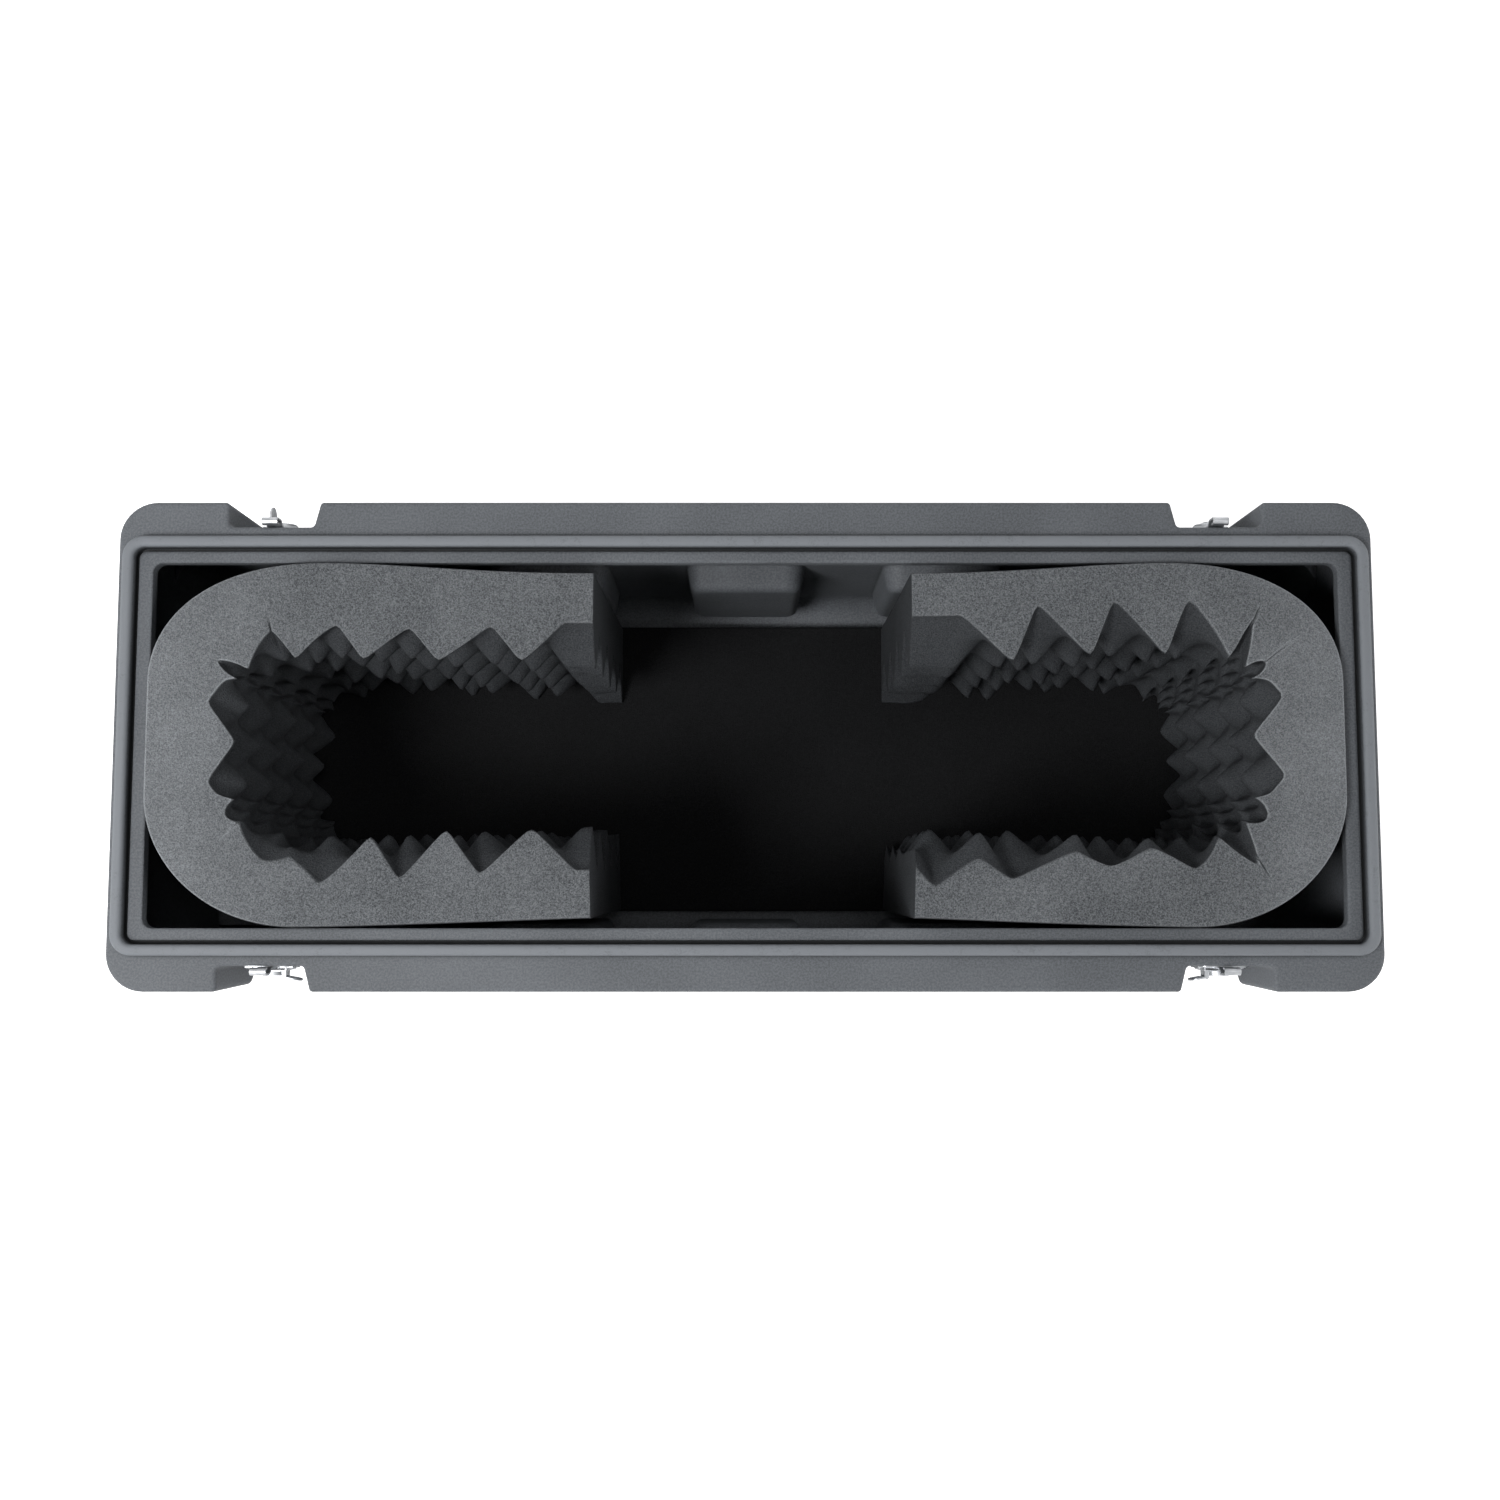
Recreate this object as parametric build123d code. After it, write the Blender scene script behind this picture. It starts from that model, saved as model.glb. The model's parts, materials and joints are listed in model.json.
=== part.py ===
from build123d import *
import math
import os

# Open base of a moulded transport case for a flat screen, with its lift-off lid away.
# Millimetres, +Z up, +X to the right along the long side, +Y to the back, -Y to the front.
# The origin is on the ground, under the middle of the case.

# Moulded shell
case_length = 1267.0
body_width = 441.0
rim_height = 380.0
corner_radius = 38.0
wall = 6.0
rim_thickness = 12.0
runner_height = 8.0
band_depth = 25.5
band_height = 110.0
draft_angle = 0.85
bottom_radius = 38.0
rim_round = 3.0
band_round = 12.0
well_round = 3.0

# Opening, tongue and groove of the rim
rim_end = 35.5
rim_side = 37.0
opening_radius = 10.0
ledge_width = 11.5
ledge_length = 14.0
groove_width = 4.0
groove_depth = 6.0
tongue_width = 11.0
tongue_height = 10.0
tongue_radius = 22.0
tongue_round = 3.5

# Latch pockets through the bumper bands
pocket_length = 86.0
pocket_end = 110.5
pocket_flare = 6.5
pocket_radius = 5.0
pocket_lip = 4.0

# Vertical flutes in the long walls
flute_spacing = 220.0
flute_width = 112.0
flute_end = 70.0
flute_low = 50.0
flute_top_gap = 18.5
flute_draft = 10.0
flute_radius = 12.0
flute_floor_round = 5.0
flute_mouth_round = 5.0

# Runners under the floor
runner_width = 54.0
runner_side = 100.5
runner_left_end = 103.5
runner_right_end = 48.5

# Foam
seat_gap = 0.3
floor_pad_thickness = 20.0
floor_pad_margin = 4.0
pad_peak = 92.0
pad_valley = 47.0
pad_pitch = 39.5
pad_radius = 127.0
pad_lean = 1.8
pad_squeeze = 0.6
pad_rise = 10.0
pad_free_end = {"left": 152.6, "right": 167.0}
pad_phase = {"left": 0, "right": 1}

# Latch, measured from its hub: along the wall, up, and out from the wall
hub_drop = 45.0
running_gap = 0.1
pan_width = 48.0
pan_low = -30.0
pan_high = 28.0
pan_radius = 6.0
pan_thickness = 1.8
cover_width = 36.0
cover_height = 34.0
cover_thickness = 1.5
cover_face = 7.0
rivet_radius = 2.0
rivet_head = 2.9
rivet_head_height = 1.4
rivet_height = 11.0
hook_thickness = 2.0
hook_gap = 0.3
hook_foot_width = 32.0
hook_foot_low = -5.0
hook_foot_high = 15.0
hook_strap_width = 16.0
hook_jog_start = 33.0
hook_jog_rise = 4.5
hook_jog_out = 4.9
hook_over_rim = 7.0
hook_curl_radius = 2.9
hook_curl_tip = 2.5
throw_radius = 7.0
throw_pin_radius = 2.0
slot_height = 7.2
drum_shaft_radius = 4.0
drum_flange_radius = 9.2
drum_flange_thickness = 1.0
drum_head_radius = 13.0
drum_head_top = 12.0
flap_hinge_out = 12.5
flap_axis_height = 13.4
flap_thickness = 2.0
flap_length = 17.5
flap_width = 19.0
flap_pin_radius = 1.25
flap_pin_gap = 0.05
knuckle_radius = 2.0
knuckle_width = 9.4
lug_radius = 2.2
lug_thickness = 2.6
lug_gap = 0.2
flap_rest = {"front_left": 170.0, "front_right": 170.0, "rear_left": 90.0, "rear_right": 0.0}

# Recessed carrying handles in the end walls
handle_drop = 180.0
land_depth = 2.5
dish_width = 137.4
dish_height = 91.4
dish_radius = 14.0
dish_thickness = 1.5
dish_flange = 16.0
dish_gap = 0.3
bail_radius = 4.0
bail_gap = 0.05
bail_width = 100.0
bail_drop = 54.0
bail_bend = 9.0
bail_pivot_rise = 28.0
bail_pivot_depth = 13.0
grip_radius = 10.0
grip_length = 80.0
grip_rings = 7

# Tilt wheels under the left end
wheel_radius = 37.5
wheel_width = 26.0
wheel_inset = 45.5
wheel_clear = 2.5
wheel_side_inset = 54.5
well_gap = 5.0
tyre_thickness = 11.0
axle_radius = 5.0
axle_gap = 0.05
axle_head_radius = 8.0
axle_head_thickness = 2.5

# Sizes that follow from the ones above
floor_height = runner_height
inner_floor = floor_height + wall
band_width = body_width + 2 * band_depth
band_low = rim_height - band_height
chamfer_low = band_low - band_depth
draft_shift = (chamfer_low - floor_height) * math.tan(math.radians(draft_angle))
opening_length = case_length - 2 * rim_end
opening_width = body_width - 2 * rim_side
tongue_inner_length = opening_length + 2 * (ledge_length + groove_width)
tongue_inner_width = opening_width + 2 * (ledge_width + groove_width)
pocket_outer = case_length / 2 - pocket_end
pocket_inner = pocket_outer - pocket_length
flute_floor = opening_width / 2 + wall
flute_high = chamfer_low - flute_top_gap
flute_count = int((case_length - 2 * flute_end - flute_width) / flute_spacing) + 1
recess_floor = opening_length / 2 + wall
handle_land = case_length / 2 - land_depth
handle_height = rim_height - handle_drop
hub_x = (pocket_inner + pocket_outer) / 2
hub_z = rim_height - hub_drop
drum_flange_out = cover_face - cover_thickness - running_gap
wheel_x = -case_length / 2 + wheel_inset
wheel_z = wheel_radius + wheel_clear
wheel_side = body_width / 2 - wheel_side_inset
pad_low = inner_floor + seat_gap + floor_pad_thickness + seat_gap
pad_high = rim_height + pad_rise
pad_rows = round((pad_high - pad_low) / pad_pitch)
sides = {"front": -1, "rear": 1}
ends = {"left": -1, "right": 1}


def slab(length, width, radius, low, high):
    """Upright block with a rounded-rectangle plan, centred on the origin."""
    return extrude(Pos(0, 0, low) * RectangleRounded(length, width, radius), high - low)


def block(x, y, z):
    """Box between two limits along each axis."""
    size = [high - low for low, high in (x, y, z)]
    middle = [(high + low) / 2 for low, high in (x, y, z)]
    return Pos(*middle) * Box(*size)


def ring(length, width, radius, thickness, low, high):
    """Upright frame of one thickness around a rounded-rectangle hole."""
    outer = slab(length + 2 * thickness, width + 2 * thickness, radius + thickness, low, high)
    return outer - slab(length, width, radius, low - 1, high + 1)


# Shell

def body_form(inset, top):
    """Case body drawn in by an inset: straight above the band's foot, drafted and rounded below."""
    length = case_length - 2 * inset
    width = body_width - 2 * inset
    radius = corner_radius - inset
    upper = slab(length, width, radius, chamfer_low, top)
    plan = Pos(0, 0, chamfer_low) * RectangleRounded(length, width, radius)
    depth = chamfer_low - floor_height - inset
    lower = extrude(plan, depth, dir=(0, 0, -1), taper=draft_angle)
    lower = fillet(lower.edges().group_by(Axis.Z)[0], bottom_radius - inset)
    return upper + lower


def band_form(inset, top):
    """Bumper band of both long sides, with a chamfered foot, drawn in by an inset."""
    inner = body_width / 2 - inset
    outer = band_width / 2 - inset
    shift = inset * (math.sqrt(2) - 1)
    foot = chamfer_low + shift
    corner = band_low + shift
    outline = Polyline(
        (-inner, foot), (-outer, corner), (-outer, top), (outer, top), (outer, corner), (inner, foot),
        close=True,
    )
    length = case_length - 2 * inset
    profile = make_face(outline)
    knees = profile.vertices().filter_by_position(Axis.Y, corner - 0.1, corner + 0.1)
    profile = Plane.YZ.offset(-length / 2) * fillet(knees, band_round - inset)
    prism = extrude(profile, length)
    return prism & slab(length, 2 * outer, corner_radius - inset, foot, top)


def pockets(grow):
    """Four latch pockets through the bands, open above and below, grown by a wall."""
    start = body_width / 2 - grow
    far = band_width / 2 + 2 * pocket_flare
    flare = pocket_flare * (far - start) / band_depth
    outline = Polyline(
        (pocket_inner - grow, start), (pocket_outer + grow, start), (pocket_outer + grow, far),
        (pocket_inner - grow - flare, far),
        close=True,
    )
    plan = make_face(outline)
    corners = plan.vertices().group_by(Axis.Y)[0]
    plan = fillet(corners, pocket_radius + grow / 2)
    pocket = extrude(Pos(0, 0, chamfer_low - grow) * plan, band_height + band_depth + 2 * grow)
    pair = pocket + mirror(pocket, Plane.YZ)
    return pair + mirror(pair, Plane.XZ)


def flute(grow):
    """One drafted flute of the back wall, its floor in line with the edge of the opening."""
    start = body_width / 2 + 1
    depth = start - flute_floor + grow
    spread = 2 * (start - flute_floor) * math.tan(math.radians(flute_draft))
    height = flute_high - flute_low
    plane = Plane(origin=(0, start, (flute_high + flute_low) / 2), x_dir=(-1, 0, 0), z_dir=(0, 1, 0))
    mouth = plane * RectangleRounded(
        flute_width + spread + 2 * grow, height + 2 * grow, flute_radius + spread / 2 + grow
    )
    one = extrude(mouth, depth, dir=(0, -1, 0), taper=flute_draft)
    return fillet(one.edges().group_by(Axis.Y)[0], flute_floor_round + grow)


def flutes(grow):
    """All flutes of both long walls."""
    one = flute(grow)
    first = -(flute_count - 1) / 2 * flute_spacing
    row = [Pos(first + n * flute_spacing, 0, 0) * one for n in range(flute_count)]
    row = Part() + row
    return row + mirror(row, Plane.XZ)


def handle_recess(grow):
    """Recess for the handle dish in the left end wall."""
    width = dish_width + 2 * (dish_gap + grow)
    height = dish_height + 2 * (dish_gap + grow)
    plane = Plane(origin=(-recess_floor + grow, 0, handle_height), x_dir=(0, -1, 0), z_dir=(-1, 0, 0))
    hole = plane * RectangleRounded(width, height, dish_radius + dish_gap + grow)
    return extrude(hole, case_length / 2 - recess_floor + grow + 1)


def handle_flat(grow):
    """Flat land for the flange of the handle dish, just below the face of the left end wall."""
    width = dish_width + 2 * (dish_flange + dish_gap + grow)
    height = dish_height + 2 * (dish_flange + dish_gap + grow)
    plane = Plane(origin=(-handle_land + grow, 0, handle_height), x_dir=(0, -1, 0), z_dir=(-1, 0, 0))
    face = plane * RectangleRounded(width, height, dish_radius + dish_flange + grow)
    return extrude(face, case_length / 2 - handle_land + grow + 1)


def both_ends(shape):
    """Left-end shape and its mirror image at the right end."""
    return shape + mirror(shape, Plane.YZ)


def wells(grow):
    """Wheel wells in the left end, open below and outwards, grown by a wall."""
    reach = wheel_radius + well_gap + grow
    half = wheel_width / 2 + well_gap + grow
    outside = (-case_length / 2 - 1, wheel_x)
    top = wheel_z + reach
    arch = Pos(wheel_x, wheel_side, wheel_z) * Rot(90, 0, 0) * Cylinder(reach, 2 * half)
    span = (wheel_side - half, wheel_side + half)
    well = arch + block(outside, span, (-1, top)) + block((wheel_x, wheel_x + reach), span, (-1, wheel_z))
    return well + mirror(well, Plane.XZ)


def runners(inset, top):
    """Two moulded runners along the floor, drawn in by an inset."""
    span = (runner_left_end - case_length / 2 + inset, case_length / 2 - runner_right_end - inset)
    half = runner_width / 2 - inset
    both = Part()
    for side in sides.values():
        middle = side * (body_width / 2 - runner_side)
        both += block(span, (middle - half, middle + half), (inset, top))
    return fillet(both.edges().filter_by(Axis.Z), half / 2)


def cut_rounded(form, tool, radius):
    """Form with a tool cut out of it and the edges of the cut's mouth rounded."""
    cut = form - tool
    return fillet(new_edges(form, tool, combined=cut), radius)


def banded_body():
    """Body and bands with the latch pockets cut, their lips and the top edge rounded."""
    form = body_form(0, rim_height) + band_form(0, rim_height) - pockets(0)
    upright = form.edges().filter_by(Axis.Z).filter_by_position(Axis.X, -pocket_outer - 1, pocket_outer + 1)
    lips = [edge for edge in upright if abs(edge.center().Y) > band_width / 2 - 1]
    form = fillet(lips, pocket_lip)
    top = form.edges().filter_by_position(Axis.Z, rim_height - 0.1, rim_height + 0.1)
    return fillet(top, rim_round)


def shell_outside():
    """Outer form of the shell before it is hollowed."""
    form = cut_rounded(banded_body(), flutes(0), flute_mouth_round)
    form -= both_ends(handle_recess(0) + handle_flat(0))
    form = cut_rounded(form, wells(0), well_round)
    return form + runners(0, inner_floor)


def shell_inside():
    """Hollow of the shell, one wall inside its outer form."""
    top = rim_height - rim_thickness
    form = body_form(wall, top) + band_form(wall, top) + runners(wall, inner_floor + 1)
    form -= pockets(wall)
    form -= flutes(wall)
    form -= both_ends(handle_recess(wall) + handle_flat(wall))
    form -= wells(wall)
    return form


def tongue():
    """Raised bead round the rim that the lid's channel drops over."""
    inner_radius = tongue_radius - tongue_width
    bead = ring(
        tongue_inner_length, tongue_inner_width, inner_radius, tongue_width,
        rim_height - 1, rim_height + tongue_height,
    )
    return fillet(bead.edges().group_by(Axis.Z)[-1], tongue_round)


def groove():
    """Narrow groove between the tongue and the ledge."""
    length = tongue_inner_length - 2 * groove_width
    width = tongue_inner_width - 2 * groove_width
    radius = tongue_radius - tongue_width - groove_width
    return ring(length, width, radius, groove_width, rim_height - groove_depth, rim_height + 1)


def latch_plane(side, end):
    """Frame on the back wall of a pocket: x along the wall, y up, z outwards."""
    hub = (ends[end] * hub_x, sides[side] * body_width / 2, hub_z)
    return Plane(origin=hub, x_dir=(-sides[side], 0, 0), z_dir=(0, sides[side], 0))


def rivet_places():
    """Rivet centres of one latch, in its own frame."""
    out = (cover_width + pan_width) / 4
    return [(x, y) for x in (-out, out) for y in (-rivet_height, rivet_height)]


def shell_holes():
    """Rivet holes of the latches and handles, and axle holes of the wheels."""
    holes = []
    for side in sides:
        for end in ends:
            plane = latch_plane(side, end)
            for x, y in rivet_places():
                holes.append(plane * Pos(x, y, -wall / 2) * Cylinder(rivet_radius, wall + 2))
    for end in ends:
        plane = handle_plane(end)
        for x, y in handle_rivet_places():
            holes.append(plane * Pos(x, y, -wall / 2) * Cylinder(rivet_radius, wall + 2))
    for side in sides.values():
        holes.append(Pos(wheel_x, side * wheel_side, wheel_z) * Rot(90, 0, 0)
                     * Cylinder(axle_radius, wheel_width + 2 * (well_gap + wall) + 2))
    return holes


def base_shell():
    """Moulded base of the case."""
    shell = shell_outside() - shell_inside()
    shell -= slab(opening_length, opening_width, opening_radius, rim_height - rim_thickness - 1, rim_height + 1)
    shell += tongue()
    shell -= groove()
    shell -= shell_holes()
    return shell


# Foam

def well_notches():
    """Cuts in the foam round the wheel wells and the heads of the axles."""
    return wells(wall + axle_head_thickness + seat_gap)


def floor_pad():
    """Flat foam sheet on the floor, notched round the wheel wells."""
    inset = bottom_radius + draft_shift + floor_pad_margin
    length = case_length - 2 * inset
    width = body_width - 2 * inset
    low = inner_floor + seat_gap
    pad = slab(length, width, corner_radius / 2, low, low + floor_pad_thickness)
    return pad - well_notches()


def pad_station(run):
    """Place on the back of an end pad and the turn of its inward direction.

    The back runs flat along the end wall, round a quarter bend and along the long wall; run is the
    distance along it from the middle of the end wall.
    """
    flat = opening_width / 2 - seat_gap - pad_radius
    full_turn = math.radians(90 + pad_lean)
    turn = min(max(run - flat, 0) / pad_radius, full_turn)
    past = max(run - flat - pad_radius * full_turn, 0)
    x = pad_radius * (1 - math.cos(turn)) + past * math.sin(turn)
    y = min(run, flat) + pad_radius * math.sin(turn) + past * math.cos(turn)
    return x, y, turn


def pad_half_run(end):
    """Length of the back of a pad from the middle of the end wall to its free end."""
    flat = opening_width / 2 - seat_gap - pad_radius
    full_turn = math.radians(90 + pad_lean)
    bend_x = pad_radius * (1 - math.cos(full_turn))
    arm = (opening_length / 2 - seat_gap - bend_x - pad_free_end[end]) / math.sin(full_turn)
    return flat + pad_radius * full_turn + arm


def pad_point(end, run, depth, height):
    """Point of a pad at a depth in from its back, on the front or the back arm by the run's sign."""
    x, y, turn = pad_station(abs(run))
    x += depth * math.cos(turn)
    y -= depth * math.sin(turn)
    reach = opening_length / 2 - seat_gap - x
    return Vector(ends[end] * reach, math.copysign(y, run), height)


def pad_thickness(end, column, row):
    """Foam thickness at a crossing of the egg-crate grid: peaks and valleys take turns.

    The bend squeezes the valleys shut, most of all at its middle.
    """
    whole = math.floor(abs(column))
    part = abs(column) - whole
    near = (whole + row + pad_phase[end]) % 2
    share = near * (1 - part) + (1 - near) * part
    turn = pad_station(abs(column) * pad_pitch)[2]
    squeeze = pad_squeeze * math.sin(2 * min(turn, math.pi / 2))
    return pad_peak - (1 - share) * (1 - squeeze) * (pad_peak - pad_valley)


def pad_back(end, height):
    """Edges of a pad's back at one height, from the front arm's free end to the back arm's."""
    flat = opening_width / 2 - seat_gap - pad_radius
    bend = pad_radius * math.radians(90 + pad_lean)
    half = pad_half_run(end)
    stops = [-half, -flat - bend, -flat, flat, flat + bend, half]
    points = [pad_point(end, stop, 0, height) for stop in stops]
    edges = [Edge.make_line(points[n], points[n + 1]) for n in (0, 2, 4)]
    for n in (1, 3):
        middle = pad_point(end, (stops[n] + stops[n + 1]) / 2, 0, height)
        edges.insert(n, Edge.make_three_point_arc(points[n], middle, points[n + 1]))
    return edges


def end_pad(end):
    """Egg-crate foam bent into a U round one end of the screen.

    Its back is smooth. Its face is a grid of peaks and valleys a half pitch apart, each cell four
    triangles that meet at the cell's middle.
    """
    half = pad_half_run(end)
    last = int(half / pad_pitch)
    columns = [-half / pad_pitch, *range(-last, last + 1), half / pad_pitch]
    step = (pad_high - pad_low) / pad_rows
    face = [
        [
            pad_point(end, column * pad_pitch, pad_thickness(end, column, row), pad_high - row * step)
            for column in columns
        ]
        for row in range(pad_rows + 1)
    ]
    faces = []
    for row in range(pad_rows):
        for n in range(len(columns) - 1):
            cell = [face[row][n], face[row][n + 1], face[row + 1][n + 1], face[row + 1][n]]
            middle = sum(cell, Vector()) / 4
            for a in range(4):
                corners = [cell[a], cell[(a + 1) % 4], middle]
                faces.append(Face(Wire.make_polygon(corners, close=True)))
    for height, rim in ((pad_high, face[0]), (pad_low, face[-1])):
        front = [Edge.make_line(rim[n], rim[n + 1]) for n in range(len(rim) - 1)]
        back = pad_back(end, height)
        tips = [Edge.make_line(back[0] @ 0, rim[0]), Edge.make_line(back[-1] @ 1, rim[-1])]
        faces.append(Face(Wire(back + front + tips)))
    for edge in pad_back(end, pad_low):
        faces.append(Face.extrude(edge, (0, 0, pad_high - pad_low)))
    for side in (0, -1):
        run = half if side else -half
        corners = [line[side] for line in face]
        corners += [pad_point(end, run, 0, pad_low), pad_point(end, run, 0, pad_high)]
        faces.append(Face(Wire.make_polygon(corners, close=True)))
    pad = Solid(Shell(faces))
    if end == "left":
        pad -= well_notches()
    return pad


# Latch, drawn with its hub at the origin; hand is +1 or -1 for the side its flap hinges on

def latch_pan():
    """Backing plate riveted to the wall."""
    height = pan_high - pan_low
    plate = Pos(0, (pan_high + pan_low) / 2, 0) * RectangleRounded(pan_width, height, pan_radius)
    pan = extrude(plate, pan_thickness)
    return pan - [Pos(x, y, 0) * Cylinder(rivet_radius, 10) for x, y in rivet_places()]


def latch_cover():
    """Hat-section bridge over the pan that carries the drum and guides the hook."""
    half = cover_width / 2
    foot = pan_width / 2
    inner = half - cover_thickness
    low = pan_thickness
    under = cover_face - cover_thickness
    outline = Polyline(
        (-foot, low), (-inner, low), (-inner, under), (inner, under), (inner, low), (foot, low),
        (foot, low + cover_thickness), (half, low + cover_thickness), (half, cover_face),
        (-half, cover_face), (-half, low + cover_thickness), (-foot, low + cover_thickness),
        close=True,
    )
    section = Plane.XZ.offset(-cover_height / 2) * make_face(outline)
    cover = extrude(section, cover_height)
    ridge = cover.edges().filter_by(Axis.Y).filter_by_position(Axis.Z, cover_face - 0.1, cover_face + 0.1)
    cover = fillet(ridge, cover_thickness)
    cover -= Cylinder(drum_shaft_radius + running_gap, 40)
    return cover - [Pos(x, y, 0) * Cylinder(rivet_radius, 10) for x, y in rivet_places()]


def latch_drum(hand):
    """Turning head with its shaft, rear flange, throw pin and the two lugs of the flap."""
    flange_in = drum_flange_out - drum_flange_thickness
    head_low = cover_face + hook_gap
    outline = Polyline(
        (0, flange_in), (drum_flange_radius, flange_in), (drum_flange_radius, drum_flange_out),
        (drum_shaft_radius, drum_flange_out), (drum_shaft_radius, head_low),
        (drum_head_radius, head_low), (drum_head_radius, drum_head_top - 0.8),
        (drum_head_radius - 0.8, drum_head_top), (0, drum_head_top),
        close=True,
    )
    drum = revolve(Plane.XZ * make_face(outline), Axis.Z)
    pin_low = pan_thickness + 0.2
    drum += Pos(0, throw_radius, (pin_low + flange_in) / 2) * Cylinder(throw_pin_radius, flange_in - pin_low)
    hinge = hand * flap_hinge_out
    lug_out = knuckle_width / 2 + lug_gap + lug_thickness
    base = block((-lug_radius, lug_radius), (-lug_out, lug_out), (head_low, flap_axis_height))
    barrel = Rot(90, 0, 0) * Cylinder(lug_radius, 2 * lug_out)
    drum += Pos(hinge, 0, 0) * base + Pos(hinge, 0, flap_axis_height) * barrel
    relief_radius = math.hypot(lug_radius, flap_axis_height - drum_head_top) + lug_gap
    relief = Rot(90, 0, 0) * Cylinder(relief_radius, knuckle_width + 2 * lug_gap)
    drum -= Pos(hinge, 0, flap_axis_height) * relief
    bore = Rot(90, 0, 0) * Cylinder(flap_pin_radius, 2 * lug_out + 2)
    return drum - Pos(hinge, 0, flap_axis_height) * bore


def latch_pin(hand):
    """Hinge pin of the flap, pressed into the lugs."""
    length = knuckle_width + 2 * (lug_gap + lug_thickness)
    return Pos(hand * flap_hinge_out, 0, flap_axis_height) * Rot(90, 0, 0) * Cylinder(flap_pin_radius, length)


def latch_flap(hand, angle):
    """Fold-out grip of the drum at an opening angle, 0 being flat on the drum."""
    start = lug_radius + lug_gap
    tip = flap_length - flap_width / 2
    straight = Pos((start + tip) / 2, 0) * Rectangle(tip - start, flap_width)
    nose = Pos(tip, 0) * (Circle(flap_width / 2) - Pos(-flap_width / 2, 0) * Rectangle(flap_width, flap_width))
    plate = straight + nose
    flap = extrude(Pos(0, 0, -flap_thickness / 2) * plate, flap_thickness)
    flap = chamfer(flap.edges().group_by(Axis.Z)[-1], 0.5)
    knuckle = Rot(90, 0, 0) * Cylinder(knuckle_radius, knuckle_width)
    web = block((0, start + 1), (-knuckle_width / 2, knuckle_width / 2), (-flap_thickness / 2, flap_thickness / 2))
    flap += knuckle + web
    flap -= Rot(90, 0, 0) * Cylinder(flap_pin_radius + flap_pin_gap, flap_width)
    turned = Rot(0, 180 + angle, 0) if hand > 0 else Rot(0, -angle, 0)
    if hand > 0:
        flap = Rot(180, 0, 0) * flap
    return Pos(hand * flap_hinge_out, 0, flap_axis_height) * turned * flap


def latch_hook():
    """Sliding hook plate: a slotted foot under the drum, a jogged strap and a curl over the rim."""
    out = pan_thickness + hook_gap + hook_thickness / 2
    strap_out = out + hook_jog_out
    top = hub_drop + hook_over_rim - hook_thickness / 2 - hook_curl_radius
    jog_end = hook_jog_start + hook_jog_rise
    rise = FilletPolyline(
        (hook_foot_low, out), (hook_jog_start, out), (jog_end, strap_out), (top, strap_out), radius=2.5
    )
    curl = ThreePointArc(
        (top, strap_out), (top + hook_curl_radius, strap_out - hook_curl_radius),
        (top, strap_out - 2 * hook_curl_radius),
    )
    tip = Line(curl @ 1, (top - hook_curl_tip, strap_out - 2 * hook_curl_radius))
    strip = trace(rise + curl + tip, hook_thickness)
    side = Plane(origin=(-hook_foot_width / 2, 0, 0), x_dir=(0, 1, 0), z_dir=(1, 0, 0))
    hook = extrude(side * strip, hook_foot_width)
    trim = block((hook_strap_width / 2, hook_foot_width), (hook_foot_high, 60), (0, 20))
    hook -= trim + mirror(trim, Plane.YZ)
    slot_length = 2 * (throw_radius + throw_pin_radius + hook_gap)
    return hook - Pos(0, throw_radius, out) * extrude(Rectangle(slot_length, slot_height), 4, both=True)


def rivet(grip, above):
    """Blind rivet through a grip below z = 0, with its head at a height above."""
    dome = Pos(0, 0, above) * extrude(Circle(rivet_head), rivet_head_height, taper=25)
    shank = block_round(rivet_radius, -grip, above)
    tail = block_round(rivet_head, -grip - rivet_head_height, -grip)
    return dome + shank + tail


def block_round(radius, low, high):
    """Upright cylinder between two heights."""
    return Pos(0, 0, (low + high) / 2) * Cylinder(radius, high - low)


def latch_rivets():
    """Four rivets of every latch, through cover, pan and wall."""
    one = rivet(wall, pan_thickness + cover_thickness)
    rivets = []
    for side in sides:
        for end in ends:
            plane = latch_plane(side, end)
            rivets += [plane * Pos(x, y, 0) * one for x, y in rivet_places()]
    return Compound(rivets)


# Handles, drawn on the plane of the flange's seat: x level, y up, z outwards

def handle_plane(end):
    """Frame on the flat land of an end wall."""
    place = (ends[end] * handle_land, 0, handle_height)
    return Plane(origin=place, x_dir=(0, ends[end], 0), z_dir=(ends[end], 0, 0))


def handle_rivet_places():
    """Rivet centres on the corner diagonals of the flange, clear of the recess's side walls."""
    reach = (2 * dish_radius + dish_gap + wall + dish_flange) / 2 * math.sqrt(0.5)
    x = dish_width / 2 - dish_radius + reach
    y = dish_height / 2 - dish_radius + reach
    return [(a * x, b * y) for a in (-1, 1) for b in (-1, 1)]


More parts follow.
